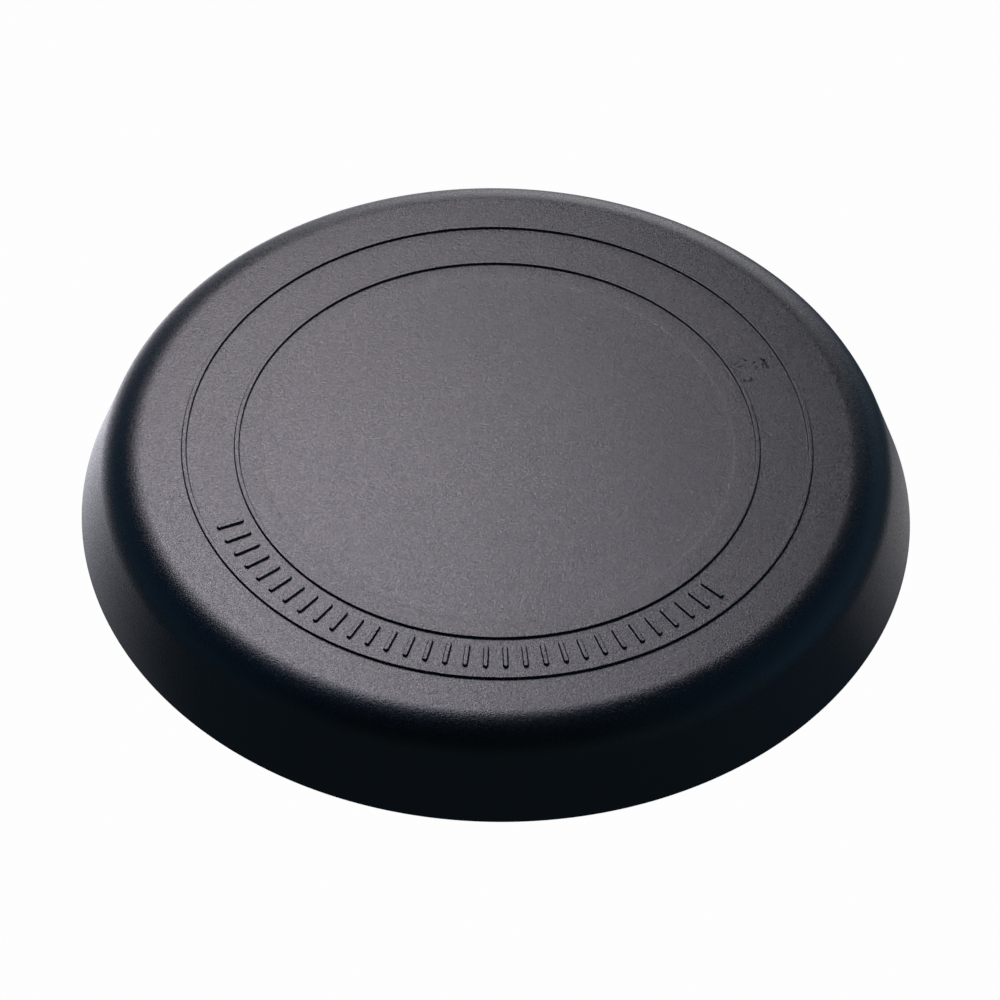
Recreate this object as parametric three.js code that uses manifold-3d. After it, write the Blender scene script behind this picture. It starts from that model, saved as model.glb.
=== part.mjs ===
// A round practice pad for drumsticks, about 8 inches across. Millimetres, +Z up.
//
// A moulded rubber cover is stretched over a fibreboard disc, with a softer rebound disc in a pocket under
// the playing zone. A pressed steel plate is screwed to the board from below and traps the cover's turned-in
// flange. A flanged socket in the middle takes the M8 stud of a stand. The pad rests on the cover's lip, and
// the origin is the centre of that rest face.
import * as THREE from "three";
import { mergeVertices } from "three/addons/utils/BufferGeometryUtils.js";
import Module from "manifold-3d";

const wasm = await Module();
wasm.setup();

// Outside of the cover.
const BASE_RADIUS = 101.6; // 8 inches across
const PAD_HEIGHT = 22.6;
const FACE_RADIUS = 85.7; // where the flat playing face turns into the shoulder
const SHOULDER_RADIUS = 11.4;
const LIP_CHAMFER = 0.3;

// Raised relief on the playing face: two ring ridges, and a row of bars between them.
const RELIEF_HEIGHT = 0.6;
const RIDGE_OUTER_RADII = [76.7, 63.9];
const RIDGE_WIDTH = 1.3;
const RIDGE_DRAFT = 0.15; // how much narrower each side of a ridge is at its top
const BAR_LENGTH = 6.9;
const BAR_WIDTH = 1.3;
const BAR_COUNT = 31;
const BAR_ROW_START = 204; // degrees, anticlockwise from +X
const BAR_ROW_END = 318;
const BAR_ROOT = 1; // how deep a bar is rooted in the face

// The stack inside, as heights above the floor.
const RIM_BOTTOM = 1.6; // underside of the plate's rim
const FLANGE_BOTTOM = 3; // underside of the cover's turned-in flange, on the plate's rim
const BOARD_BOTTOM = 5;
const BOARD_TOP = 13;
const REBOUND_TOP = 17;
const PLATE_GAUGE = FLANGE_BOTTOM - RIM_BOTTOM;
const PLATE_BOTTOM = BOARD_BOTTOM - PLATE_GAUGE; // underside of the plate's middle

// The stack inside, as radii.
const LIP_INNER_RADIUS = 91.5;
const FLANGE_INNER_RADIUS = 84.5;
const BOARD_RADIUS = 91.7;
const REBOUND_RADIUS = 57.5;
const JOGGLE_INNER_RADIUS = 81.5; // the plate steps down to its rim between these two radii
const JOGGLE_OUTER_RADIUS = 83.6;
const CLEARANCE = 0.3;

// The socket for the stand's stud.
const FLANGE_RADIUS = 20;
const FLANGE_BEVEL = 0.5;
const SOCKET_FLANGE = 1.6; // thickness
const BARREL_RADIUS = 6.5;
const BARREL_TOP = 12.7;
const BORE_RADIUS = 3.32; // minor radius of an M8 thread
const MOUTH_RADIUS = 4.2; // the lead-in at the bore's mouth
const BORE_TOP = 11.5;

// The screws: three countersunk ones through the socket, and pan-headed ones round the plate.
const SHANK_RADIUS = 1.75;
const SCREW_TIP = 2.6; // length of the pointed end
const SCREW_TOP = 11.6; // the height that the point reaches
const SINK_HEAD_RADIUS = 3.3;
const SOCKET_SCREW_RING = 13.2;
const SOCKET_SCREW_COUNT = 3;
const PAN_HEAD_RADIUS = 3.5;
const PAN_HEAD_HEIGHT = 2;
const PAN_HEAD_ROUND = 1.4; // radius of the rounding round the head's edge
const BASE_SCREW_RING = 76;
const BASE_SCREW_COUNT = 8;

// Facets round a full turn, and along the arcs.
const DISC_STEPS = 96;
const HOLE_STEPS = 16;
const SOCKET_STEPS = 48;
const SHOULDER_STEPS = 8;
const BAR_END_STEPS = 5;
const HEAD_ROUND_STEPS = 3;

const OVERCUT = 1; // how far a hole's cutter starts outside the surface that it enters
const WELD_DISTANCE = 1e-4; // vertices closer than this are one

const COLOURS = {
  rubber: { color: 0x2a292c, roughness: 0.62, metalness: 0 },
  sponge: { color: 0x3a3f44, roughness: 0.95, metalness: 0 },
  board: { color: 0x9a7447, roughness: 0.85, metalness: 0 },
  plate: { color: 0x151517, roughness: 0.5, metalness: 0.2 },
  zinc: { color: 0xb9bcc0, roughness: 0.35, metalness: 1 },
};

const pad = new THREE.Group();

// A closed outline of [radius, height] points, turned about +Z. It runs anticlockwise with the radius to
// the right and the height upwards, and starts and ends on the axis or closes on itself.
function revolved(outline, steps) {
  const points = outline.map(([radius, height]) => new THREE.Vector2(radius, height));
  if (outline[0][0] > 0) points.push(points[0].clone());
  const geometry = new THREE.LatheGeometry(points, steps);
  return geometry.rotateX(Math.PI / 2);
}

// A geometry as a manifold-3d solid.
function solidOf(geometry) {
  const bare = new THREE.BufferGeometry();
  bare.setAttribute("position", geometry.getAttribute("position"));
  bare.setIndex(geometry.index);
  const merged = mergeVertices(bare, WELD_DISTANCE);
  return new wasm.Manifold(
    new wasm.Mesh({
      numProp: 3,
      vertProperties: merged.attributes.position.array,
      triVerts: new Uint32Array(merged.index.array),
    }),
  );
}

// A manifold-3d solid as a geometry.
function geometryOf(solid) {
  const { numProp, vertProperties, triVerts } = solid.getMesh();
  const geometry = new THREE.BufferGeometry();
  geometry.setAttribute("position", new THREE.BufferAttribute(vertProperties, numProp));
  geometry.setIndex(new THREE.BufferAttribute(triVerts, 1));
  geometry.computeVertexNormals();
  return geometry;
}

function addMesh(name, geometry, finish) {
  const mesh = new THREE.Mesh(geometry, new THREE.MeshStandardMaterial(COLOURS[finish]));
  mesh.name = name;
  pad.add(mesh);
  return mesh;
}

// The places of count things on a ring, the first at the angle start, in radians.
function onRing(count, radius, start) {
  return Array.from({ length: count }, (_, i) => {
    const angle = start + (i * 2 * Math.PI) / count;
    return [radius * Math.cos(angle), radius * Math.sin(angle)];
  });
}

const socketScrewPlaces = onRing(SOCKET_SCREW_COUNT, SOCKET_SCREW_RING, Math.PI / 2);
const baseScrewPlaces = onRing(BASE_SCREW_COUNT, BASE_SCREW_RING, Math.PI / BASE_SCREW_COUNT);

// A stock with a hole of this outline at each of the places.
function drilled(stock, places, outline) {
  const cutter = revolved(outline, HOLE_STEPS);
  return places.reduce(
    (solid, [x, y]) => solid.subtract(solidOf(cutter.clone().translate(x, y, 0))),
    stock,
  );
}

// A plain cylinder's outline, for a disc or a hole.
function cylinderOutline(radius, bottom, top) {
  return [
    [0, bottom],
    [radius, bottom],
    [radius, top],
    [0, top],
  ];
}

// The shoulder is an arc from the flat face down to the skirt, which is the straight line that leaves the
// arc as a tangent and ends at the base radius on the floor.
function shoulderTilt() {
  const run = BASE_RADIUS - FACE_RADIUS;
  const rise = PAD_HEIGHT - SHOULDER_RADIUS;
  return Math.atan2(rise, run) + Math.asin(SHOULDER_RADIUS / Math.hypot(run, rise));
}

function shoulderOutline() {
  const tilt = shoulderTilt();
  return Array.from({ length: SHOULDER_STEPS + 1 }, (_, i) => {
    const angle = tilt * (1 - i / SHOULDER_STEPS);
    return [
      FACE_RADIUS + SHOULDER_RADIUS * Math.sin(angle),
      PAD_HEIGHT - SHOULDER_RADIUS * (1 - Math.cos(angle)),
    ];
  });
}

function ridgeOutline(outerRadius) {
  const innerRadius = outerRadius - RIDGE_WIDTH;
  const top = PAD_HEIGHT + RELIEF_HEIGHT;
  return [
    [outerRadius, PAD_HEIGHT],
    [outerRadius - RIDGE_DRAFT, top],
    [innerRadius + RIDGE_DRAFT, top],
    [innerRadius, PAD_HEIGHT],
  ];
}

// The cover's outline starts under the middle of the playing face, follows the hollow out and down to the
// lip, and comes back over the skirt, the shoulder and the ridges.
function coverOutline() {
  const slope = Math.tan(Math.PI / 2 - shoulderTilt());
  return [
    [0, REBOUND_TOP],
    [REBOUND_RADIUS + CLEARANCE, REBOUND_TOP],
    [REBOUND_RADIUS + CLEARANCE, BOARD_TOP],
    [BOARD_RADIUS + CLEARANCE, BOARD_TOP],
    [BOARD_RADIUS + CLEARANCE, BOARD_BOTTOM],
    [FLANGE_INNER_RADIUS, BOARD_BOTTOM],
    [FLANGE_INNER_RADIUS, FLANGE_BOTTOM],
    [LIP_INNER_RADIUS, FLANGE_BOTTOM],
    [LIP_INNER_RADIUS, LIP_CHAMFER],
    [LIP_INNER_RADIUS + LIP_CHAMFER, 0],
    [BASE_RADIUS - LIP_CHAMFER, 0],
    [BASE_RADIUS - LIP_CHAMFER * slope, LIP_CHAMFER],
    ...shoulderOutline(),
    ...RIDGE_OUTER_RADII.flatMap(ridgeOutline),
    [0, PAD_HEIGHT],
  ];
}

// A bar of the row: a slot-shaped block with round ends, its length along the radius.
function barGeometry() {
  const end = (BAR_LENGTH - BAR_WIDTH) / 2;
  const shape = new THREE.Shape();
  shape.absarc(end, 0, BAR_WIDTH / 2, -Math.PI / 2, Math.PI / 2, false);
  shape.absarc(-end, 0, BAR_WIDTH / 2, Math.PI / 2, (3 * Math.PI) / 2, false);
  return new THREE.ExtrudeGeometry(shape, {
    depth: BAR_ROOT + RELIEF_HEIGHT,
    bevelEnabled: false,
    curveSegments: BAR_END_STEPS,
  });
}

function rowOfBars() {
  const middle = (RIDGE_OUTER_RADII[0] - RIDGE_WIDTH + RIDGE_OUTER_RADII[1]) / 2;
  const step = (BAR_ROW_END - BAR_ROW_START) / (BAR_COUNT - 1);
  return Array.from({ length: BAR_COUNT }, (_, i) => {
    const bar = barGeometry().translate(middle, 0, PAD_HEIGHT - BAR_ROOT);
    return bar.rotateZ(THREE.MathUtils.degToRad(BAR_ROW_START + i * step));
  });
}

function makeRubberCover() {
  const shell = solidOf(revolved(coverOutline(), DISC_STEPS));
  const cover = rowOfBars().reduce((solid, bar) => solid.add(solidOf(bar)), shell);
  addMesh("rubber_cover", geometryOf(cover), "rubber");
}

function makeReboundDisc() {
  const outline = cylinderOutline(REBOUND_RADIUS, BOARD_TOP, REBOUND_TOP);
  addMesh("rebound_disc", revolved(outline, DISC_STEPS), "sponge");
}

function makeCoreBoard() {
  const holeRadius = BARREL_RADIUS + CLEARANCE;
  const ring = revolved(
    [
      [holeRadius, BOARD_BOTTOM],
      [BOARD_RADIUS, BOARD_BOTTOM],
      [BOARD_RADIUS, BOARD_TOP],
      [holeRadius, BOARD_TOP],
    ],
    DISC_STEPS,
  );
  const pilot = cylinderOutline(SHANK_RADIUS + CLEARANCE, BOARD_BOTTOM - OVERCUT, SCREW_TOP + CLEARANCE);
  const places = [...socketScrewPlaces, ...baseScrewPlaces];
  addMesh("core_board", geometryOf(drilled(solidOf(ring), places, pilot)), "board");
}

// The plate lies on the board in the middle and steps down to a rim that carries the cover's flange.
function makeBasePlate() {
  const holeRadius = BARREL_RADIUS + CLEARANCE;
  const rimRadius = LIP_INNER_RADIUS - CLEARANCE;
  const wall = PLATE_GAUGE; // the step's wall is as thick as the sheet
  const sheet = revolved(
    [
      [holeRadius, PLATE_BOTTOM],
      [JOGGLE_INNER_RADIUS - wall, PLATE_BOTTOM],
      [JOGGLE_OUTER_RADIUS - wall, RIM_BOTTOM],
      [rimRadius, RIM_BOTTOM],
      [rimRadius, FLANGE_BOTTOM],
      [JOGGLE_OUTER_RADIUS, FLANGE_BOTTOM],
      [JOGGLE_INNER_RADIUS, BOARD_BOTTOM],
      [holeRadius, BOARD_BOTTOM],
    ],
    DISC_STEPS,
  );
  const hole = cylinderOutline(SHANK_RADIUS + CLEARANCE, PLATE_BOTTOM - OVERCUT, BOARD_BOTTOM + OVERCUT);
  const places = [...socketScrewPlaces, ...baseScrewPlaces];
  addMesh("base_plate", geometryOf(drilled(solidOf(sheet), places, hole)), "plate");
}

// The socket's flange lies under the plate, and its blind barrel goes up through the plate and the board.
function makeStandSocket() {
  const face = PLATE_BOTTOM - SOCKET_FLANGE;
  const leadIn = MOUTH_RADIUS - BORE_RADIUS;
  const blank = revolved(
    [
      [0, BORE_TOP],
      [BORE_RADIUS, BORE_TOP],
      [BORE_RADIUS, face + leadIn],
      [MOUTH_RADIUS, face],
      [FLANGE_RADIUS - FLANGE_BEVEL, face],
      [FLANGE_RADIUS, face + FLANGE_BEVEL],
      [FLANGE_RADIUS, PLATE_BOTTOM],
      [BARREL_RADIUS, PLATE_BOTTOM],
      [BARREL_RADIUS, BARREL_TOP],
      [0, BARREL_TOP],
    ],
    SOCKET_STEPS,
  );
  const sunk = SINK_HEAD_RADIUS + CLEARANCE;
  const hole = SHANK_RADIUS + CLEARANCE;
  const countersink = [
    [0, face - OVERCUT],
    [sunk, face - OVERCUT],
    [sunk, face],
    [hole, face + sunk - hole],
    [hole, PLATE_BOTTOM + OVERCUT],
    [0, PLATE_BOTTOM + OVERCUT],
  ];
  addMesh("stand_socket", geometryOf(drilled(solidOf(blank), socketScrewPlaces, countersink)), "zinc");
}

// Both screws point upwards, with the head below.
function countersunkScrew() {
  const face = PLATE_BOTTOM - SOCKET_FLANGE;
  return [
    [0, face],
    [SINK_HEAD_RADIUS, face],
    [SHANK_RADIUS, face + SINK_HEAD_RADIUS - SHANK_RADIUS],
    [SHANK_RADIUS, SCREW_TOP - SCREW_TIP],
    [0, SCREW_TOP],
  ];
}

function panHeadScrew() {
  const crown = PLATE_BOTTOM - PAN_HEAD_HEIGHT;
  const edge = Array.from({ length: HEAD_ROUND_STEPS + 1 }, (_, i) => {
    const angle = (i * Math.PI) / 2 / HEAD_ROUND_STEPS;
    return [
      PAN_HEAD_RADIUS - PAN_HEAD_ROUND * (1 - Math.sin(angle)),
      crown + PAN_HEAD_ROUND * (1 - Math.cos(angle)),
    ];
  });
  return [
    [0, crown],
    ...edge,
    [PAN_HEAD_RADIUS, PLATE_BOTTOM],
    [SHANK_RADIUS, PLATE_BOTTOM],
    [SHANK_RADIUS, SCREW_TOP - SCREW_TIP],
    [0, SCREW_TOP],
  ];
}

function makeScrews(prefix, outline, places) {
  places.forEach(([x, y], i) => {
    const screw = addMesh(`${prefix}_${i + 1}`, revolved(outline, HOLE_STEPS), "zinc");
    screw.position.set(x, y, 0);
  });
}

makeRubberCover();
makeReboundDisc();
makeCoreBoard();
makeBasePlate();
makeStandSocket();
makeScrews("socket_screw", countersunkScrew(), socketScrewPlaces);
makeScrews("base_screw", panHeadScrew(), baseScrewPlaces);

export default pad;
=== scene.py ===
"""The looks of a round rubber practice pad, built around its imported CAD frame. Metres, +Z up.

From above, every visible surface is the moulded rubber cover's: its playing face with two ring
ridges and a row of raised bars, its shoulder and its skirt. The other pieces are finished too: a
sponge disc, a fibreboard disc, a pressed plate, a threaded socket and eleven wood screws.
"""

import math

import bpy
import numpy as np
from mathutils import Matrix, Vector


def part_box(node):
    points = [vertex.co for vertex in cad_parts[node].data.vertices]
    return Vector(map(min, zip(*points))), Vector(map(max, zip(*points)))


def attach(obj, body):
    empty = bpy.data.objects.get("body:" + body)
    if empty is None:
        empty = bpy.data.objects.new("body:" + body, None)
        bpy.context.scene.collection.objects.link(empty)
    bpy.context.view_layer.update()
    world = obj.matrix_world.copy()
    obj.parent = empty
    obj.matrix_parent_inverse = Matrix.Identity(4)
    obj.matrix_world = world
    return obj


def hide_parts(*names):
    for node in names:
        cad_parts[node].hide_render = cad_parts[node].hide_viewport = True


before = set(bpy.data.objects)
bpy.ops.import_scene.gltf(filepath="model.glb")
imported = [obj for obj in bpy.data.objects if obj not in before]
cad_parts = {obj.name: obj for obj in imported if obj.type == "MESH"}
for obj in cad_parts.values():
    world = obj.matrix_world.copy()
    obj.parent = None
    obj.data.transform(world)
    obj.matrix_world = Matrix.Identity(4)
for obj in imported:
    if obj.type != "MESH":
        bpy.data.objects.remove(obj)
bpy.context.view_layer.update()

MM = 0.001

# What the frame gives.
cover_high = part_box("rubber_cover")[1]
board_low, board_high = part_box("core_board")
rebound_low, rebound_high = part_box("rebound_disc")
plate_low, plate_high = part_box("base_plate")
socket_low, socket_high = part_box("stand_socket")

# The cover, as in the CAD part.
BASE_RADIUS = 101.6 * MM
RELIEF_HEIGHT = 0.6 * MM
FACE_HEIGHT = cover_high.z - RELIEF_HEIGHT
FACE_RADIUS = 85.7 * MM
SHOULDER_RADIUS = 11.4 * MM
LIP_FILLET = 0.35 * MM
RIDGE_OUTER_RADII = (76.7 * MM, 63.9 * MM)
RIDGE_WIDTH = 1.3 * MM
RIDGE_DRAFT = 0.15 * MM
BAR_LENGTH = 6.9 * MM
BAR_WIDTH = 1.3 * MM
BAR_COUNT = 31
BAR_ROW_START = math.radians(204)
BAR_ROW_END = math.radians(318)
FLANGE_INNER_RADIUS = 84.5 * MM
FLANGE_BOTTOM = 3 * MM
CLEARANCE = 0.3 * MM

# The pieces inside it, as in the CAD part.
PLATE_GAUGE = FLANGE_BOTTOM - plate_low.z
PLATE_BOTTOM = board_low.z - PLATE_GAUGE
JOGGLE_INNER_RADIUS = 81.5 * MM
JOGGLE_OUTER_RADIUS = 83.6 * MM
BARREL_RADIUS = 6.5 * MM
BORE_RADIUS = 3.32 * MM
MOUTH_RADIUS = 4.2 * MM
BORE_TOP = 11.5 * MM
SHANK_RADIUS = 1.75 * MM
SCREW_TIP = 2.6 * MM
SUNK_HEAD_RADIUS = 3.3 * MM
PAN_HEAD_RADIUS = 3.5 * MM
PAN_HEAD_ROUND = 1.4 * MM
SOCKET_SCREWS = [f"socket_screw_{i}" for i in (1, 2, 3)]
BASE_SCREWS = [f"base_screw_{i}" for i in range(1, 9)]

# Finer than the CAD: the cover's fillets, and a shallow step in its face over the sponge's edge.
CREST_FILLET = 0.15 * MM
FOOT_FILLET = 0.1 * MM
EDGE_FILLET = 0.5 * MM
STEP_DEPTH = 0.03 * MM
STEP_WIDTH = 0.8 * MM
STEP_ROWS = 6
FINE_STEP = 0.07 * MM  # the grid's pitch across a bar's edge
# The rings of the face inside the step: (columns, share of the rebound disc's radius).
FACE_RINGS = ((144, 0.84), (72, 0.6), (36, 0.32), (12, 0.1))

# Finer than the CAD: threads, head fillets and the cross recesses.
M8_PITCH = 1.25 * MM
M8_RADIUS = 4.0 * MM
M8_RUN_OUT = 0.9 * MM
DRILL_CONE = 0.8 * MM
WOOD_PITCH = 1.6 * MM
WOOD_CREST = SHANK_RADIUS + 0.2 * MM
WOOD_ROOT = SHANK_RADIUS - 0.5 * MM
WOOD_RUN_OUT = 0.5 * MM
PLAIN_NECK = 0.6 * MM
RECESS_DEPTH = 1.3 * MM
RECESS_TIP = 0.4 * MM
RECESS_TAPER = 0.45  # the share of their width and span that the wings lose on the way down
WING_HALF_WIDTH = 0.45 * MM
PAN_RECESS_SPAN = 1.9 * MM
SUNK_RECESS_SPAN = 1.8 * MM
SCREW_TURN = 2.4  # radians from one screw to the next, so that no two recesses line up

ROUND_COLUMNS = 288
SOCKET_COLUMNS = 64
SCREW_COLUMNS = 40
HOLE_COLUMNS = 32
TURN = 2 * math.pi


def rounded(corners, steps_per_turn=40):
    """A line through corners (radius, height, fillet), with an arc for each that has a fillet."""
    line = []
    for i, (radius, height, fillet) in enumerate(corners):
        corner = np.array([radius, height])
        if fillet == 0:
            line.append(corner)
            continue
        back = np.array(corners[i - 1][:2]) - corner
        ahead = np.array(corners[(i + 1) % len(corners)][:2]) - corner
        back /= np.linalg.norm(back)
        ahead /= np.linalg.norm(ahead)
        bend = math.acos(np.clip(-back @ ahead, -1, 1))
        middle = (back + ahead) / np.linalg.norm(back + ahead)
        centre = corner + middle * fillet / math.cos(bend / 2)
        first = corner + back * fillet * math.tan(bend / 2) - centre
        side = 1 if back[0] * ahead[1] - back[1] * ahead[0] < 0 else -1
        steps = max(2, math.ceil(steps_per_turn * bend / TURN))
        for k in range(steps + 1):
            angle = side * bend * k / steps
            cos, sin = math.cos(angle), math.sin(angle)
            line.append(centre + np.array([[cos, -sin], [sin, cos]]) @ first)
    return np.array(line)


class Shell:
    """A closed mesh of rings round +Z, each bridged to the one before. Their columns may differ."""

    def __init__(self):
        self.points = []
        self.faces = []
        self.last = None
        self.centre = (0, 0)

    def pole(self, height):
        """One point on the axis, which starts or ends the shell."""
        index = len(self.points)
        self.points.append((*self.centre, height))
        if self.last is not None:
            ring, _ = self.last
            self.faces += [(ring[j], ring[(j + 1) % len(ring)], index) for j in range(len(ring))]
        self.last = ([index], None)

    def ring(self, angles, radii, heights):
        """A ring at these rising angles. Radii and heights are one number, or one per angle."""
        angles = np.asarray(angles)
        radii = np.broadcast_to(radii, angles.shape)
        heights = np.broadcast_to(heights, angles.shape)
        x, y = self.centre
        first = len(self.points)
        across, along = x + radii * np.cos(angles), y + radii * np.sin(angles)
        self.points += zip(across, along, heights, strict=True)
        ring = list(range(first, first + len(angles)))
        if self.last is not None:
            self.bridge(*self.last, ring, angles)
        self.last = (ring, angles)

    def bridge(self, a, a_angles, b, b_angles):
        """Faces between two rings: a fan from a pole, quads between like rings, or triangles."""
        count_a, count_b = len(a), len(b)
        if count_a == 1:
            self.faces += [(a[0], b[(j + 1) % count_b], b[j]) for j in range(count_b)]
        elif count_a == count_b:
            for j in range(count_a):
                k = (j + 1) % count_a
                self.faces.append((a[j], a[k], b[k], b[j]))
        else:
            self.stitch(a, a_angles, b, b_angles)

    def stitch(self, a, a_angles, b, b_angles):
        """Triangles between rings of different columns, which start at nearly the same angle."""
        i = j = 0
        while i < len(a) or j < len(b):
            next_a = a_angles[i + 1] if i + 1 < len(a) else a_angles[0] + TURN
            next_b = b_angles[j + 1] if j + 1 < len(b) else b_angles[0] + TURN
            at_a, at_b = a[i % len(a)], b[j % len(b)]
            if j >= len(b) or (i < len(a) and next_a <= next_b):
                i += 1
                self.faces.append((at_a, a[i % len(a)], at_b))
            else:
                j += 1
                self.faces.append((at_a, b[j % len(b)], at_b))

    def turn(self, line, columns, centre=(0, 0)):
        """A whole closed body, turned from a line that runs outwards below and comes back above.
        It starts and ends on the axis or closes on itself. A radius may be one per column."""
        self.centre = centre
        self.last = None
        angles = even_angles(columns)
        for radius, height in line:
            if np.all(radius == 0):
                self.pole(height)
            else:
                self.ring(angles, radius, height)
        if not np.all(line[0][0] == 0):
            last_ring, _ = self.last
            start = last_ring[0] - columns * (len(line) - 1)
            self.bridge(last_ring, angles, list(range(start, start + columns)), angles)

    def made(self, name):
        """The shell as an object in the scene, shaded smooth."""
        mesh = bpy.data.meshes.new(name)
        mesh.from_pydata(self.points, [], self.faces)
        mesh.validate()
        mesh.shade_smooth()
        piece = bpy.data.objects.new(name, mesh)
        bpy.context.scene.collection.objects.link(piece)
        return piece


def even_angles(columns):
    """Angles that share the turn evenly, from +X."""
    return np.arange(columns) * TURN / columns


def turned(name, line, columns):
    """An object turned round +Z from a line of (radius, height)."""
    shell = Shell()
    shell.turn(line, columns)
    return shell.made(name)


def cut(piece, cutter):
    """Takes the cutter's bodies out of the piece, and deletes the cutter."""
    boolean = piece.modifiers.new("cut", "BOOLEAN")
    boolean.solver = "EXACT"
    boolean.object = cutter
    bpy.context.view_layer.update()
    apply_modifiers(piece)
    bpy.data.objects.remove(cutter)


def crisp(piece, angle=35):
    """Smooth shading that stops at edges sharper than this angle, and stays flat on flat faces."""
    piece.data.shade_smooth()
    piece.data.set_sharp_from_angle(angle=math.radians(angle))
    weighted = piece.modifiers.new("crisp", "WEIGHTED_NORMAL")
    weighted.keep_sharp = True
    apply_modifiers(piece)


def apply_modifiers(piece):
    """Gives the piece the mesh that its modifiers make, and takes the modifiers off."""
    graph = bpy.context.evaluated_depsgraph_get()
    mesh = bpy.data.meshes.new_from_object(piece.evaluated_get(graph))
    piece.modifiers.clear()
    piece.data = mesh


# ---------------------------------------------------------------- the rubber cover


def shoulder_tilt():
    """How far the skirt's outward normal leans from +Z. The skirt is tangent to the shoulder."""
    run = BASE_RADIUS - FACE_RADIUS
    rise = FACE_HEIGHT - SHOULDER_RADIUS
    return math.atan2(rise, run) + math.asin(SHOULDER_RADIUS / math.hypot(run, rise))


def underside_line():
    """From the pocket's roof out, down to the lip and round its edge to the skirt's foot."""
    pocket = rebound_high.x + CLEARANCE
    hollow = board_high.x + CLEARANCE
    lip = plate_high.x + CLEARANCE
    slope = math.tan(math.pi / 2 - shoulder_tilt())
    corners = [
        (pocket / 2, rebound_high.z, 0),
        (pocket, rebound_high.z, EDGE_FILLET),
        (pocket, board_high.z, EDGE_FILLET / 2),
        (hollow, board_high.z, EDGE_FILLET),
        (hollow, board_low.z, EDGE_FILLET),
        (FLANGE_INNER_RADIUS, board_low.z, EDGE_FILLET / 2),
        (FLANGE_INNER_RADIUS, FLANGE_BOTTOM, EDGE_FILLET / 2),
        (lip, FLANGE_BOTTOM, EDGE_FILLET / 2),
        (lip, 0, LIP_FILLET),
        (BASE_RADIUS, 0, LIP_FILLET),
        (BASE_RADIUS - slope * FACE_HEIGHT / 3, FACE_HEIGHT / 3, 0),
    ]
    return rounded(corners)


def shoulder_line(steps=30, skirt_rows=4):
    """Up the rest of the skirt and round the shoulder to the edge of the playing face."""
    tilt = shoulder_tilt()
    angles = tilt * (1 - np.arange(steps + 1) / steps)
    radii = FACE_RADIUS + SHOULDER_RADIUS * np.sin(angles)
    heights = FACE_HEIGHT - SHOULDER_RADIUS * (1 - np.cos(angles))
    slope = math.tan(math.pi / 2 - tilt)
    rows = np.linspace(FACE_HEIGHT / 3, heights[0], skirt_rows + 2)[1:-1]
    skirt = np.column_stack([BASE_RADIUS - slope * rows, rows])
    return np.vstack([skirt, np.column_stack([radii, heights])])


def relief_wall():
    """(distance out from the wall's foot, height) down a wall of the relief, crest to face."""
    flat = 2 * CREST_FILLET
    corners = [
        (-RIDGE_DRAFT - flat, RELIEF_HEIGHT, 0),
        (-RIDGE_DRAFT, RELIEF_HEIGHT, CREST_FILLET),
        (0, 0, FOOT_FILLET),
        (flat, 0, 0),
    ]
    return rounded(corners)


def ridge_line(outer_radius):
    """Over a ring ridge, from the face outside it to the face inside it."""
    wall = relief_wall()
    out = np.column_stack([outer_radius + wall[::-1, 0], FACE_HEIGHT + wall[::-1, 1]])
    inner_radius = outer_radius - RIDGE_WIDTH
    back = np.column_stack([inner_radius - wall[:, 0], FACE_HEIGHT + wall[:, 1]])
    return np.vstack([out, back])


def bar_angles():
    """Where the bars' middles lie, anticlockwise from +X."""
    return np.linspace(BAR_ROW_START, BAR_ROW_END, BAR_COUNT)


def bar_row_radius():
    """The middle of the band between the ridges."""
    return (RIDGE_OUTER_RADII[0] - RIDGE_WIDTH + RIDGE_OUTER_RADII[1]) / 2


def bar_columns():
    """The grid's columns: a fine set across each bar, as offsets sideways from its middle, and
    plain ones elsewhere. Each is (angle at the row's middle, its bar's angle, offset)."""
    half = BAR_WIDTH / 2 + 3 * FINE_STEP
    offsets = np.linspace(-half, half, 2 * round(half / FINE_STEP) + 1)
    middle = bar_row_radius()
    pitch = (BAR_ROW_END - BAR_ROW_START) / (BAR_COUNT - 1)
    columns = []
    for angle in bar_angles():
        columns += [(angle + offset / middle, angle, offset) for offset in offsets]
        columns.append((angle + pitch / 2, angle + pitch / 2, 0))
    gap = TURN - (BAR_ROW_END - BAR_ROW_START) - 2 * pitch
    plain = round(gap * ROUND_COLUMNS / TURN)
    start = BAR_ROW_END + pitch
    columns += [(angle, angle, 0) for angle in start + gap * np.arange(plain + 1) / plain]
    columns.sort(key=lambda column: column[0] % TURN)
    table = np.array(columns)
    whole = np.floor(table[:, 0] / TURN) * TURN
    table[:, 0] -= whole
    table[:, 1] -= whole
    return table


def bar_rows():
    """The grid's radii across the row of bars, close together over the bars' round ends."""
    middle, half = bar_row_radius(), BAR_LENGTH / 2
    past_end = 3 * FINE_STEP
    end = np.arange(half - BAR_WIDTH / 2, half + past_end, FINE_STEP)
    body = np.linspace(0, half - BAR_WIDTH / 2, 4)[:-1]
    side = np.concatenate([body, end])
    return middle + np.concatenate([side[::-1], -side[1:]])


def bar_height(radius, columns):
    """The face's height at each column of a ring through the row of bars."""
    wall = relief_wall()
    near = bar_angles()
    offset = np.min(np.abs(columns[:, 0][:, None] - near[None, :]), axis=1) * radius
    straight = (BAR_LENGTH - BAR_WIDTH) / 2
    along = max(0.0, abs(radius - bar_row_radius()) - straight)
    past_edge = np.hypot(offset, along) - BAR_WIDTH / 2
    return FACE_HEIGHT + np.interp(past_edge, wall[:, 0], wall[:, 1])


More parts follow.
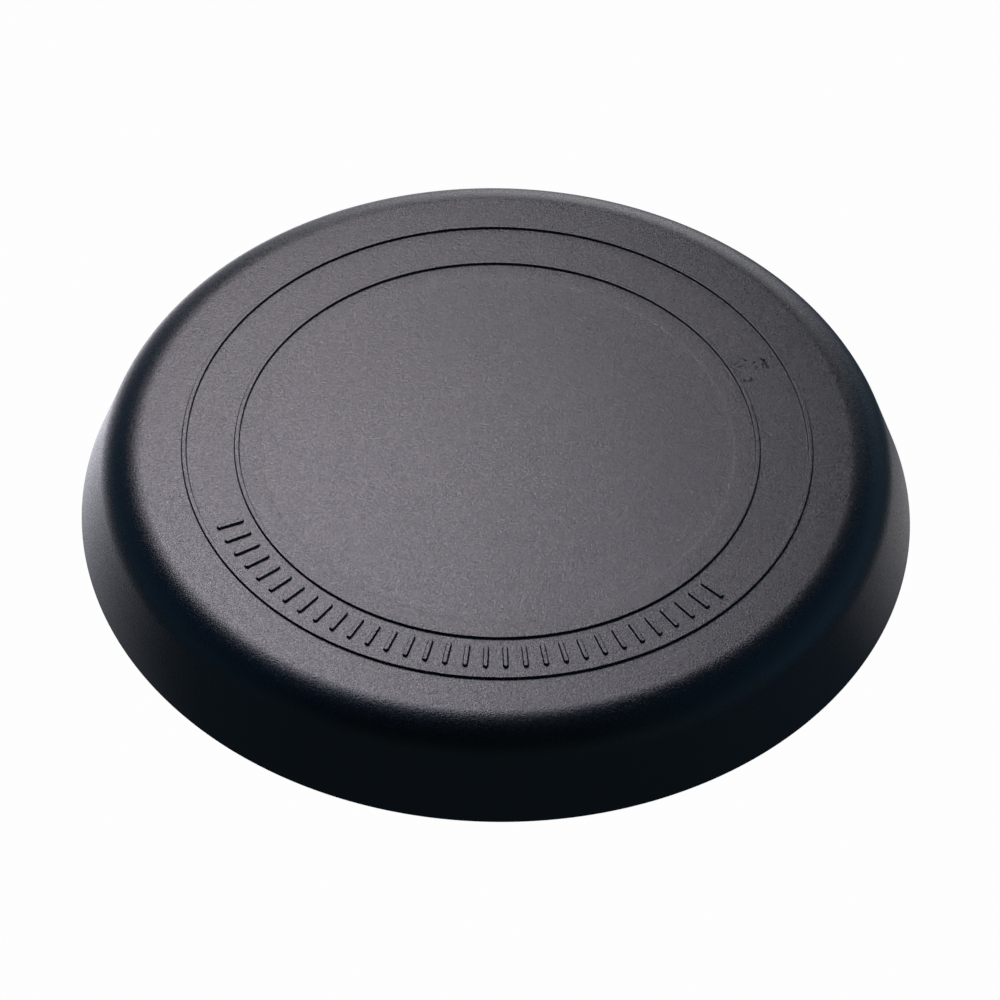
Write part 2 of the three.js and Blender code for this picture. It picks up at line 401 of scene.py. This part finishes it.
def make_rubber_cover():
    """One closed shell: underside, lip, skirt, shoulder, then the face inwards to its middle."""
    even = even_angles(ROUND_COLUMNS)
    shell = Shell()
    shell.pole(rebound_high.z)
    for radius, height in np.vstack([underside_line(), shoulder_line()]):
        shell.ring(even, radius, height)
    for radius, height in ridge_line(RIDGE_OUTER_RADII[0]):
        shell.ring(even, radius, height)
    columns = bar_columns()
    for radius in bar_rows():
        # A column beside a bar runs parallel to the bar's middle, and not along a radius.
        angles = columns[:, 1] + columns[:, 2] / radius
        at_radius = np.column_stack([angles, columns[:, 1:]])
        shell.ring(angles, radius, bar_height(radius, at_radius))
    for radius, height in ridge_line(RIDGE_OUTER_RADII[1]):
        shell.ring(even, radius, height)
    disc = rebound_high.x
    for share in np.linspace(0, 1, STEP_ROWS):
        drop = STEP_DEPTH * (3 * share**2 - 2 * share**3)
        shell.ring(even, disc + STEP_WIDTH * (0.5 - share), FACE_HEIGHT - drop)
    for fewer, share in FACE_RINGS:
        shell.ring(even_angles(fewer), disc * share, FACE_HEIGHT - STEP_DEPTH)
    shell.pole(FACE_HEIGHT - STEP_DEPTH)
    return shell.made("cover")


# ---------------------------------------------------------------- the pieces inside


def make_rebound_disc():
    """A sponge disc with soft edges and a slightly bulging side."""
    low, high = rebound_low.z, rebound_high.z
    bulge, side_round, edge_round = 0.25 * MM, 4 * MM, 0.7 * MM
    edge = rebound_high.x - bulge
    corners = [
        (0, low, 0),
        (edge / 2, low, 0),
        (edge, low, edge_round),
        (rebound_high.x, (low + high) / 2, side_round),
        (edge, high, edge_round),
        (edge / 2, high, 0),
        (0, high, 0),
    ]
    disc = turned("sponge_disc", rounded(corners), ROUND_COLUMNS)
    return disc


def screw_places(names):
    """The (x, y) of each of these CAD screws' axes."""
    boxes = [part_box(name) for name in names]
    return [((low.x + high.x) / 2, (low.y + high.y) / 2) for low, high in boxes]


def holes(line, places):
    """A cutter with one turned body at each place."""
    shell = Shell()
    for place in places:
        shell.turn(line, HOLE_COLUMNS, place)
    return shell.made("cutter")


def hole_line(bottom, top, ease):
    """A screw's hole from below a face at bottom up to top, a little wider at the face."""
    radius, outside = SHANK_RADIUS + CLEARANCE, 1 * MM
    return np.array(
        [
            (0, bottom - outside),
            (radius + ease, bottom - outside),
            (radius + ease, bottom),
            (radius, bottom + ease),
            (radius, top),
            (0, top),
        ]
    )


def make_fibre_disc():
    """The fibreboard, with eased edges and drilled pilots that end in the drill's cone."""
    low, high = board_low.z, board_high.z
    hole = BARREL_RADIUS + CLEARANCE
    ease, pilot_ease, pilot_cone = 0.35 * MM, 0.15 * MM, 0.6 * MM
    corners = [
        (hole, low, ease),
        (board_high.x, low, ease),
        (board_high.x, high, ease),
        (hole, high, ease),
    ]
    board = turned("fibre_disc", rounded(corners), ROUND_COLUMNS)
    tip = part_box(BASE_SCREWS[0])[1].z + CLEARANCE
    pilot = hole_line(low, tip - pilot_cone, pilot_ease)
    pilot[-1] = (0, tip)
    cut(board, holes(pilot, screw_places(SOCKET_SCREWS + BASE_SCREWS)))
    crisp(board)
    return board


def make_pressed_plate():
    """One sheet: flat in the middle, a round-cornered step down to the rim, rounded cut edges."""
    gauge = PLATE_GAUGE
    hole = BARREL_RADIUS + CLEARANCE
    rim = plate_high.x
    edge, hole_ease = 0.3 * MM, 0.2 * MM
    bend_above, bend_below = 0.9 * MM, 0.5 * MM
    corners = [
        (hole, PLATE_BOTTOM, edge),
        (JOGGLE_INNER_RADIUS - gauge, PLATE_BOTTOM, bend_above),
        (JOGGLE_OUTER_RADIUS - gauge, plate_low.z, bend_below),
        (rim, plate_low.z, edge),
        (rim, FLANGE_BOTTOM, edge),
        (JOGGLE_OUTER_RADIUS, FLANGE_BOTTOM, bend_below),
        (JOGGLE_INNER_RADIUS, board_low.z, bend_above),
        (hole, board_low.z, edge),
    ]
    plate = turned("pressed_plate", rounded(corners), ROUND_COLUMNS)
    through = hole_line(PLATE_BOTTOM, board_low.z + gauge, hole_ease)
    cut(plate, holes(through, screw_places(SOCKET_SCREWS + BASE_SCREWS)))
    crisp(plate)
    return plate


def thread(angles, height, pitch, crest, root, flat=0.12):
    """The radius of a right-handed thread at each angle, at one height. Crest and root are flat
    over a share of the pitch."""
    phase = (height / pitch - angles / TURN) % 1
    off_crest = 2 * np.minimum(phase, 1 - phase)
    return np.interp(off_crest, (flat, 1 - flat), (crest, root))


def threaded(bottom, top, pitch, crest, root, fade, columns, rows_per_turn=10):
    """Lines (radii, height) up a thread, which fades in and out over fade at its ends. It fades to
    its crest in a bore, where the crest is the smaller radius, and to its root on a shank."""
    angles = even_angles(columns)
    plain = min(crest, root)
    lines = []
    for height in np.linspace(bottom, top, round((top - bottom) / pitch * rows_per_turn) + 1):
        share = min(1.0, (height - bottom) / fade, (top - height) / fade)
        radii = thread(angles, height, pitch, crest, root)
        lines.append((plain + (radii - plain) * share, height))
    return lines


def make_socket():
    """A turned flange and barrel, with an M8 thread in the blind bore and three countersinks."""
    face = socket_low.z
    outside = rounded(
        [
            (MOUTH_RADIUS, face, 0),
            (socket_high.x, face, 0.45 * MM),
            (socket_high.x, PLATE_BOTTOM, 0.15 * MM),
            (BARREL_RADIUS, PLATE_BOTTOM, 0.1 * MM),
            (BARREL_RADIUS, socket_high.z, 0.5 * MM),
            (0, socket_high.z, 0),
        ]
    )
    lead_in = MOUTH_RADIUS - BORE_RADIUS
    top = BORE_TOP - DRILL_CONE
    m8 = (M8_PITCH, BORE_RADIUS, M8_RADIUS, M8_RUN_OUT)
    bore = threaded(face + lead_in, top, *m8, SOCKET_COLUMNS)
    line = [(0, BORE_TOP)] + bore[::-1] + list(outside)
    socket = turned("threaded_socket", line, SOCKET_COLUMNS)
    sunk = SUNK_HEAD_RADIUS + CLEARANCE
    hole = SHANK_RADIUS + CLEARANCE
    past = 1 * MM
    countersink = [
        (0, face - past),
        (sunk, face - past),
        (sunk, face),
        (hole, face + sunk - hole),
        (hole, PLATE_BOTTOM + past),
        (0, PLATE_BOTTOM + past),
    ]
    cut(socket, holes(countersink, screw_places(SOCKET_SCREWS)))
    crisp(socket)
    return socket


def cross_recess(crown, span):
    """The cutter for a cross recess in a head that faces down: four wings that narrow inwards."""
    wing, depth = WING_HALF_WIDTH, RECESS_DEPTH
    tip = math.atan2(wing, span)
    long, short = math.hypot(span, wing), math.hypot(wing, wing)
    quarter = ((-tip, long), (tip, long), (math.pi / 4, short))
    angles = [turn * TURN / 4 + angle for turn in range(4) for angle, _ in quarter]
    radii = np.array([radius for _, radius in quarter] * 4)
    shell = Shell()
    outside = 0.5 * MM
    shell.pole(crown - outside)
    for share in (-outside / depth, 1):
        shell.ring(angles, radii * (1 - RECESS_TAPER * share), crown + share * depth)
    shell.pole(crown + depth + RECESS_TIP)
    return shell.made("recess")


def make_screw(name, head, crown, top, recess_span):
    """A wood screw that points up: its turned head, a plain neck, a coarse thread and a point."""
    neck = board_low.z + PLAIN_NECK
    tip = top - SCREW_TIP
    body = threaded(neck, tip, WOOD_PITCH, WOOD_CREST, WOOD_ROOT, WOOD_RUN_OUT, SCREW_COLUMNS)
    line = list(head) + [(SHANK_RADIUS, neck - WOOD_RUN_OUT)] + body
    angles = even_angles(SCREW_COLUMNS)
    point_rows = 18
    for height in np.linspace(tip, top, point_rows)[1:-1]:
        taper = (top - height) / SCREW_TIP
        coil = thread(angles, height, WOOD_PITCH, WOOD_CREST, WOOD_ROOT)
        fade = min(1.0, (height - tip) / WOOD_RUN_OUT)
        line.append(((WOOD_ROOT + (coil - WOOD_ROOT) * fade) * taper, height))
    line.append((0, top))
    screw = turned(name, line, SCREW_COLUMNS)
    cut(screw, cross_recess(crown, recess_span))
    crisp(screw, angle=40)
    return screw


def sunk_head():
    """A countersunk head and the neck through the plate."""
    face = socket_low.z
    return rounded(
        [
            (0, face, 0),
            (SUNK_HEAD_RADIUS, face, 0.12 * MM),
            (SHANK_RADIUS, face + SUNK_HEAD_RADIUS - SHANK_RADIUS, 0.3 * MM),
            (SHANK_RADIUS, PLATE_BOTTOM, 0),
        ]
    )


def pan_head():
    """A domed head that bears on the plate, and the start of its neck."""
    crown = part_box(BASE_SCREWS[0])[0].z
    return rounded(
        [
            (0, crown, 0),
            (PAN_HEAD_RADIUS, crown, PAN_HEAD_ROUND),
            (PAN_HEAD_RADIUS, PLATE_BOTTOM, 0.15 * MM),
            (SHANK_RADIUS, PLATE_BOTTOM, 0.1 * MM),
            (SHANK_RADIUS, PLATE_BOTTOM + 0.2 * MM, 0),
        ]
    )


def place(piece, slot, *nodes):
    """Puts a piece on the body in place of these CAD nodes."""
    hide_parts(*nodes)
    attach(piece, "root")


def place_screws(first, names, label):
    """A copy of the screw for each of the CAD's, each turned as it was left when driven in."""
    mesh = first.data
    bpy.data.objects.remove(first)
    for i, (name, (x, y)) in enumerate(zip(names, screw_places(names))):
        screw = bpy.data.objects.new(f"{label}_{i + 1}", mesh)
        bpy.context.scene.collection.objects.link(screw)
        screw.location = (x, y, 0)
        screw.rotation_euler = (0, 0, SCREW_TURN * i)
        place(screw, "zinc_steel", name)


# ---------------------------------------------------------------- materials


class Nodes:
    """A material's node tree, with its Principled shader, and short ways to add and join nodes."""

    def __init__(self, name):
        self.material = bpy.data.materials.new(name)
        self.material.use_nodes = True
        self.tree = self.material.node_tree
        self.shader = self.tree.nodes["Principled BSDF"]
        self.place = self.add("ShaderNodeTexCoord").outputs["Object"]

    @classmethod
    def over(cls, world_tree):
        """The same helpers over a world's node tree, where place is the direction looked in."""
        nodes = cls.__new__(cls)
        nodes.tree = world_tree
        nodes.place = nodes.add("ShaderNodeTexCoord").outputs["Generated"]
        return nodes

    def add(self, kind, **values):
        node = self.tree.nodes.new(kind)
        for key, value in values.items():
            setattr(node, key, value)
        return node

    def join(self, source, target):
        self.tree.links.new(source, target)

    def noise(self, scale, detail=2.0, roughness=0.5, vector=None):
        """Noise with features about 1 / scale metres across."""
        node = self.add("ShaderNodeTexNoise")
        node.inputs["Scale"].default_value = scale
        node.inputs["Detail"].default_value = detail
        node.inputs["Roughness"].default_value = roughness
        self.join(vector or self.place, node.inputs["Vector"])
        return node.outputs["Fac"]

    def cells(self, scale):
        """Distance from the middle of the nearest cell, of cells about 1 / scale metres across."""
        node = self.add("ShaderNodeTexVoronoi")
        node.inputs["Scale"].default_value = scale
        self.join(self.place, node.inputs["Vector"])
        return node.outputs["Distance"]

    def squeezed(self, *factors):
        """The place, with each axis scaled: a larger factor squeezes a texture along its axis."""
        return self.vector("MULTIPLY", self.place, factors).outputs["Vector"]

    def ramp(self, source, low, high, from_low=0.3, from_high=0.7, smooth=False):
        """source, spread from one range over another."""
        node = self.add("ShaderNodeMapRange")
        if smooth:
            node.interpolation_type = "SMOOTHSTEP"
        self.join(source, node.inputs["Value"])
        limits = {"From Min": from_low, "From Max": from_high, "To Min": low, "To Max": high}
        for key, value in limits.items():
            node.inputs[key].default_value = value
        return node.outputs["Result"]

    def blend(self, factor, a, b):
        """Colour a where factor is 0, and b where it is 1."""
        node = self.add("ShaderNodeMix", data_type="RGBA")
        self.join(factor, node.inputs["Factor"])
        node.inputs["A"].default_value = (*a, 1)
        node.inputs["B"].default_value = (*b, 1)
        return node.outputs["Result"]

    def vector(self, operation, *values):
        """A vector math node, fed by other nodes' outputs or by plain triples."""
        node = self.add("ShaderNodeVectorMath", operation=operation)
        for socket, value in zip(node.inputs, values):
            if isinstance(value, (tuple, list)):
                socket.default_value = value
            else:
                self.join(value, socket)
        return node

    def distance(self, place):
        """How far the surface's place is from this one."""
        return self.vector("DISTANCE", self.place, place).outputs["Value"]

    def scale(self, colour, factor):
        node = self.vector("SCALE", colour)
        self.join(factor, node.inputs["Scale"])
        return node.outputs["Vector"]

    def plus(self, a, b):
        return self.vector("ADD", a, b).outputs["Vector"]

    def math(self, operation, a, b=0):
        """A math node, fed by other nodes' outputs or by plain numbers."""
        node = self.add("ShaderNodeMath", operation=operation)
        for socket, value in zip(node.inputs, (a, b)):
            if isinstance(value, (int, float)):
                socket.default_value = value
            else:
                self.join(value, socket)
        return node.outputs[0]

    def bump(self, height, distance, strength=1.0, normal=None):
        """A normal tilted by a height from 0 to 1, which stands for distance, over another."""
        node = self.add("ShaderNodeBump")
        node.inputs["Strength"].default_value = strength
        node.inputs["Distance"].default_value = distance
        self.join(height, node.inputs["Height"])
        if normal is not None:
            self.join(normal, node.inputs["Normal"])
        return node.outputs["Normal"]

    def set(self, **sockets):
        """Values that are the same all over the surface, by socket name with _ for a space."""
        for key, value in sockets.items():
            self.shader.inputs[key.replace("_", " ")].default_value = value

    def feed(self, name, source):
        """Joins a node's output to a socket of the shader."""
        self.join(source, self.shader.inputs[name])


RUBBER_DARK = (0.0016, 0.0026, 0.0052)
RUBBER_LIGHT = (0.0030, 0.0044, 0.0078)
# The sponge's pit colour is painted shade in its hollows. The wall colour is the sponge's own.
SPONGE_PIT_SHADE = (0.018, 0.020, 0.023)
SPONGE_WALL = (0.062, 0.068, 0.074)
FIBRE_DARK = (0.235, 0.130, 0.058)
FIBRE_LIGHT = (0.46, 0.305, 0.165)
POWDER_DARK = (0.010, 0.010, 0.011)
POWDER_LIGHT = (0.024, 0.024, 0.026)
ZINC_BLUE = (0.54, 0.58, 0.64)
ZINC_YELLOW = (0.70, 0.69, 0.64)
# Small pits in the band between the ridges: the (place, reach) of each patch of them.
PIT_PATCHES = (
    ((59.4 * MM, 29.6 * MM, FACE_HEIGHT), 2.0 * MM),
    ((64.4 * MM, 29.4 * MM, FACE_HEIGHT), 2.2 * MM),
    ((61.2 * MM, 23.6 * MM, FACE_HEIGHT), 1.5 * MM),
)


def cover_rubber():
    """Moulded black rubber: a fine grain that dulls and tilts the sheen, faint wide clouds, and a
    few pits."""
    nodes = Nodes("cover_rubber")
    grain = nodes.noise(2100, detail=2, roughness=0.9)
    cloud = nodes.noise(42, detail=3, roughness=0.55)
    nodes.feed("Base Color", nodes.blend(cloud, RUBBER_DARK, RUBBER_LIGHT))
    dulled = nodes.ramp(grain, -0.12, 0.12)
    satin = nodes.math("ADD", nodes.ramp(cloud, 0.29, 0.305), dulled)
    grained = nodes.bump(grain, 0.09 * MM)
    pits = nodes.ramp(nodes.cells(1000), 1, 0, 0.32, 0.42, smooth=True)
    worn = None
    for place, reach in PIT_PATCHES:
        near = nodes.ramp(nodes.distance(place), 1, 0, 0.5 * reach, reach, smooth=True)
        worn = near if worn is None else nodes.math("ADD", worn, near)
    pitted = nodes.math("MULTIPLY", pits, worn)
    nodes.feed("Roughness", nodes.math("ADD", satin, nodes.math("MULTIPLY", pitted, 0.5)))
    sunk = nodes.math("MULTIPLY", pitted, -1)
    nodes.feed("Normal", nodes.bump(sunk, 2.0 * MM, normal=grained))
    nodes.set(Specular_IOR_Level=0.5)
    return nodes.material


def sponge_rubber():
    """Closed-cell sponge with a slightly open surface: pits between pale walls, the pits darkened
    by painted shade.
    """
    nodes = Nodes("sponge_rubber")
    pits = nodes.cells(1500)
    wide = nodes.noise(220, detail=3)
    walls = nodes.ramp(pits, 0, 1, 0.1, 0.6)
    # The dark colour down in the pits is painted shade. The walls keep the sponge's own pale
    # colour.
    nodes.feed("Base Color", nodes.blend(walls, SPONGE_PIT_SHADE, SPONGE_WALL))
    nodes.feed("Roughness", nodes.ramp(wide, 0.86, 0.98))
    relief = nodes.math("ADD", pits, nodes.ramp(wide, 0, 0.6))
    nodes.feed("Normal", nodes.bump(relief, 0.25 * MM, strength=0.8))
    nodes.set(Specular_IOR_Level=0.3)
    return nodes.material


def fibreboard():
    """Pressed wood fibre: flecks that lie flat in layers, which band the cut edge finely."""
    nodes = Nodes("fibreboard")
    flecks = nodes.noise(700, detail=5, roughness=0.65, vector=nodes.squeezed(1, 1, 5))
    cloud = nodes.noise(45, detail=3)
    shade = nodes.math("ADD", nodes.ramp(flecks, 0, 0.75), nodes.ramp(cloud, 0, 0.25))
    nodes.feed("Base Color", nodes.blend(shade, FIBRE_DARK, FIBRE_LIGHT))
    nodes.feed("Roughness", nodes.ramp(flecks, 0.92, 0.76))
    nodes.feed("Normal", nodes.bump(flecks, 0.12 * MM, strength=0.7))
    nodes.set(Specular_IOR_Level=0.3)
    return nodes.material


def powder_coat():
    """Black powder coat: an orange-peel skin with a finer texture on it."""
    nodes = Nodes("powder_coat")
    peel = nodes.noise(420, detail=2, roughness=0.4)
    fine = nodes.noise(2400, detail=2, roughness=0.6)
    nodes.feed("Base Color", nodes.blend(fine, POWDER_DARK, POWDER_LIGHT))
    nodes.feed("Roughness", nodes.ramp(peel, 0.42, 0.56))
    relief = nodes.math("ADD", peel, nodes.ramp(fine, 0, 0.4))
    nodes.feed("Normal", nodes.bump(relief, 0.05 * MM, strength=0.6))
    return nodes.material


def zinc_plate():
    """Bright zinc plate, with a faint change of hue and dulled patches."""
    nodes = Nodes("zinc_plate")
    hue = nodes.noise(160, detail=3, roughness=0.6)
    fine = nodes.noise(3200, detail=2)
    nodes.feed("Base Color", nodes.blend(nodes.ramp(hue, 0, 1), ZINC_BLUE, ZINC_YELLOW))
    dulled = nodes.math("ADD", nodes.ramp(hue, 0.24, 0.34), nodes.ramp(fine, -0.04, 0.06))
    nodes.feed("Roughness", dulled)
    nodes.feed("Normal", nodes.bump(fine, 0.01 * MM, strength=0.5))
    nodes.set(Metallic=1.0)
    return nodes.material


# ---------------------------------------------------------------- stage, lights and camera

CAMERA_ELEVATION = math.radians(45.87)
CAMERA_DISTANCE = 1.6
CAMERA_ROLL = math.radians(1.17)
LENS = 237.3
SENSOR = 36.0
# Where the middle of the playing face lies in the picture, from its centre, as shares of the width.
FACE_ACROSS = -0.0026
FACE_UP = 0.0549

COVE_WHITE = (0.985, 0.985, 0.985)
COVE_RADIUS = 5.0
COVE_HEIGHT = 6.0
COVE_FILLET = 1.5
BOUNCE_RADIUS = 3.0
STAGE_COLUMNS = 48
# The bounce: (place on the floor, reach, radiance) of each patch, and the level elsewhere.
BOUNCE_PATCHES = (
    ((-0.042, 0.037, 0), 0.119, (3.3, 3.2, 3.5)),
    ((0.09, -0.002, 0), 0.054, (0.6, 0.55, 0.55)),
    ((0.03, 0.5, 0), 0.42, (4.0, 3.8, 4.0)),
    ((0.1, 1.5, 0), 1.25, (4.0, 3.8, 4.0)),
)
BOUNCE_LEVEL = (0.060, 0.088, 0.120)
HORIZON_GLOW = (0.075, 0.115, 0.145)
HORIZON_TOP = 0.7
RIGHT_GLOW = (0.055, 0.095, 0.125)
SIDE_GLOW = (0.0, 0.06, 0.16)
ROOM_LEVEL = (0.012, 0.022, 0.022)

PAD_MIDDLE = (0, 0, 0.02)
# The lights: (name, place, size, radiance, the point it faces).
LIGHTS = (
    ("near_softbox", (-0.1005, 0.284, 0.4195), (0.273, 0.195), (9.8, 9.15, 10.1), PAD_MIDDLE),
    ("left_panel", (-0.143, 0.345, 0.395), (0.085, 0.12), (3.5, 2.85, 3.2), PAD_MIDDLE),
    ("sky_strip", (-0.1, 0.15, 0.52), (0.35, 0.10), (0.02, 0.37, 0.85), PAD_MIDDLE),
    ("back_card", (0.1, 0.9, 0.2625), (0.56, 0.285), (3.1, 3.0, 3.05), (0.1, 0, 0.2625)),
)


def make_camera():
    """The camera, in front of the pad and above it, aimed so that the face lies where it should."""
    data = bpy.data.cameras.new("camera")
    data.lens = LENS
    data.sensor_width = SENSOR
    data.clip_end = 100
    camera = bpy.data.objects.new("camera", data)
    bpy.context.scene.collection.objects.link(camera)
    face = Vector((0, 0, FACE_HEIGHT))
    back = Vector((0, -math.cos(CAMERA_ELEVATION), math.sin(CAMERA_ELEVATION)))
    camera.location = face + back * CAMERA_DISTANCE
    level = back.to_track_quat("Z", "Y")
    field = SENSOR / LENS
    aim = Matrix.Rotation(math.atan(FACE_ACROSS * field), 4, "Y")
    aim = Matrix.Rotation(-math.atan(FACE_UP * field), 4, "X") @ aim
    roll = Matrix.Rotation(CAMERA_ROLL, 4, "Z")
    camera.rotation_euler = (level.to_matrix().to_4x4() @ roll @ aim).to_euler()
    bpy.context.scene.camera = camera


def make_area_light(name, place, size, radiance, aim):
    """A soft box of this radiance, which the camera doesn't see."""
    data = bpy.data.lights.new(name, "AREA")
    data.shape = "RECTANGLE"
    data.size, data.size_y = size
    brightest = max(radiance)
    data.energy = math.pi * data.size * data.size_y * brightest
    data.color = [level / brightest for level in radiance]
    light = bpy.data.objects.new(name, data)
    light.location = place
    light.rotation_euler = (Vector(aim) - Vector(place)).to_track_quat("-Z", "Y").to_euler()
    light.visible_camera = False
    bpy.context.scene.collection.objects.link(light)


def make_stage_piece(shell, name):
    """A glowing piece of the stage, and its material's nodes."""
    piece = shell.made(name)
    nodes = Nodes(name)
    nodes.set(Base_Color=(0, 0, 0, 1), Roughness=1.0, Specular_IOR_Level=0.0, Emission_Strength=1.0)
    piece.data.materials.append(nodes.material)
    return piece, nodes


def make_white_cove():
    """The pale floor that the camera sees, which curves up into a wall and a ceiling all round. It
    lights nothing, so that the pad's own bounce can be set apart."""
    shell = Shell()
    line = [
        (0, 0, 0),
        (COVE_RADIUS, 0, COVE_FILLET),
        (COVE_RADIUS, COVE_HEIGHT, COVE_FILLET),
        (0, COVE_HEIGHT, 0),
    ]
    shell.turn(rounded(line), STAGE_COLUMNS)
    cove, nodes = make_stage_piece(shell, "white_cove")
    nodes.set(Emission_Color=(*COVE_WHITE, 1))
    cove.visible_glossy = False
    cove.visible_diffuse = False
    cove.visible_shadow = False


def make_bounce_floor():
    """What the pad's skirt mirrors: a dim floor, bright in patches beside the pad and behind."""
    shell = Shell()
    shell.ring(even_angles(STAGE_COLUMNS), BOUNCE_RADIUS, 0)
    shell.pole(0)
    floor, nodes = make_stage_piece(shell, "bounce_floor")
    total = None
    for place, reach, radiance in BOUNCE_PATCHES:
        away = nodes.distance(place)
        glow = nodes.ramp(away, 1, 0, 0, reach, smooth=True)
        lit = nodes.scale(radiance, glow)
        total = lit if total is None else nodes.plus(total, lit)
    nodes.feed("Emission Color", nodes.plus(total, BOUNCE_LEVEL))
    floor.visible_camera = False


def make_world():
    """A dim cool room, a little brighter near the horizon, towards the right and at both sides."""
    world = bpy.data.worlds.new("studio")
    world.use_nodes = True
    bpy.context.scene.world = world
    nodes = Nodes.over(world.node_tree)
    apart = nodes.add("ShaderNodeSeparateXYZ")
    nodes.join(nodes.place, apart.inputs[0])
    low = nodes.ramp(apart.outputs["Z"], 1, 0, 0, HORIZON_TOP, smooth=True)
    right = nodes.math("POWER", nodes.math("MAXIMUM", apart.outputs["X"], 0), 2)
    # The sides glow only from beside the pad backwards.
    back = nodes.ramp(apart.outputs["Y"], 0, 1, -0.6, -0.1, smooth=True)
    side = nodes.math("MULTIPLY", nodes.math("ABSOLUTE", apart.outputs["X"]), back)
    total = nodes.plus(nodes.scale(HORIZON_GLOW, low), nodes.scale(RIGHT_GLOW, right))
    total = nodes.plus(total, nodes.scale(SIDE_GLOW, side))
    total = nodes.plus(total, ROOM_LEVEL)
    nodes.join(total, world.node_tree.nodes["Background"].inputs["Color"])


def dress(piece, material):
    """Gives the piece its material, and returns the piece."""
    piece.data.materials.append(material)
    return piece


zinc = zinc_plate()
place(dress(make_rubber_cover(), cover_rubber()), "cover_rubber", "rubber_cover")
place(dress(make_rebound_disc(), sponge_rubber()), "sponge_rubber", "rebound_disc")
place(dress(make_fibre_disc(), fibreboard()), "fibreboard", "core_board")
place(dress(make_pressed_plate(), powder_coat()), "plate_steel", "base_plate")
place(dress(make_socket(), zinc), "zinc_steel", "stand_socket")
base_crown, base_top = (corner.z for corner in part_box(BASE_SCREWS[0]))
sunk_crown, sunk_top = (corner.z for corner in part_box(SOCKET_SCREWS[0]))
pan_screw = make_screw("pan_screw", pan_head(), base_crown, base_top, PAN_RECESS_SPAN)
sunk_screw = make_screw("sunk_screw", sunk_head(), sunk_crown, sunk_top, SUNK_RECESS_SPAN)
place_screws(dress(pan_screw, zinc), BASE_SCREWS, "pan_screw")
place_screws(dress(sunk_screw, zinc), SOCKET_SCREWS, "sunk_screw")
make_white_cove()
make_bounce_floor()
make_world()
for light in LIGHTS:
    make_area_light(*light)
make_camera()
bpy.context.scene.view_settings.view_transform = "Standard"
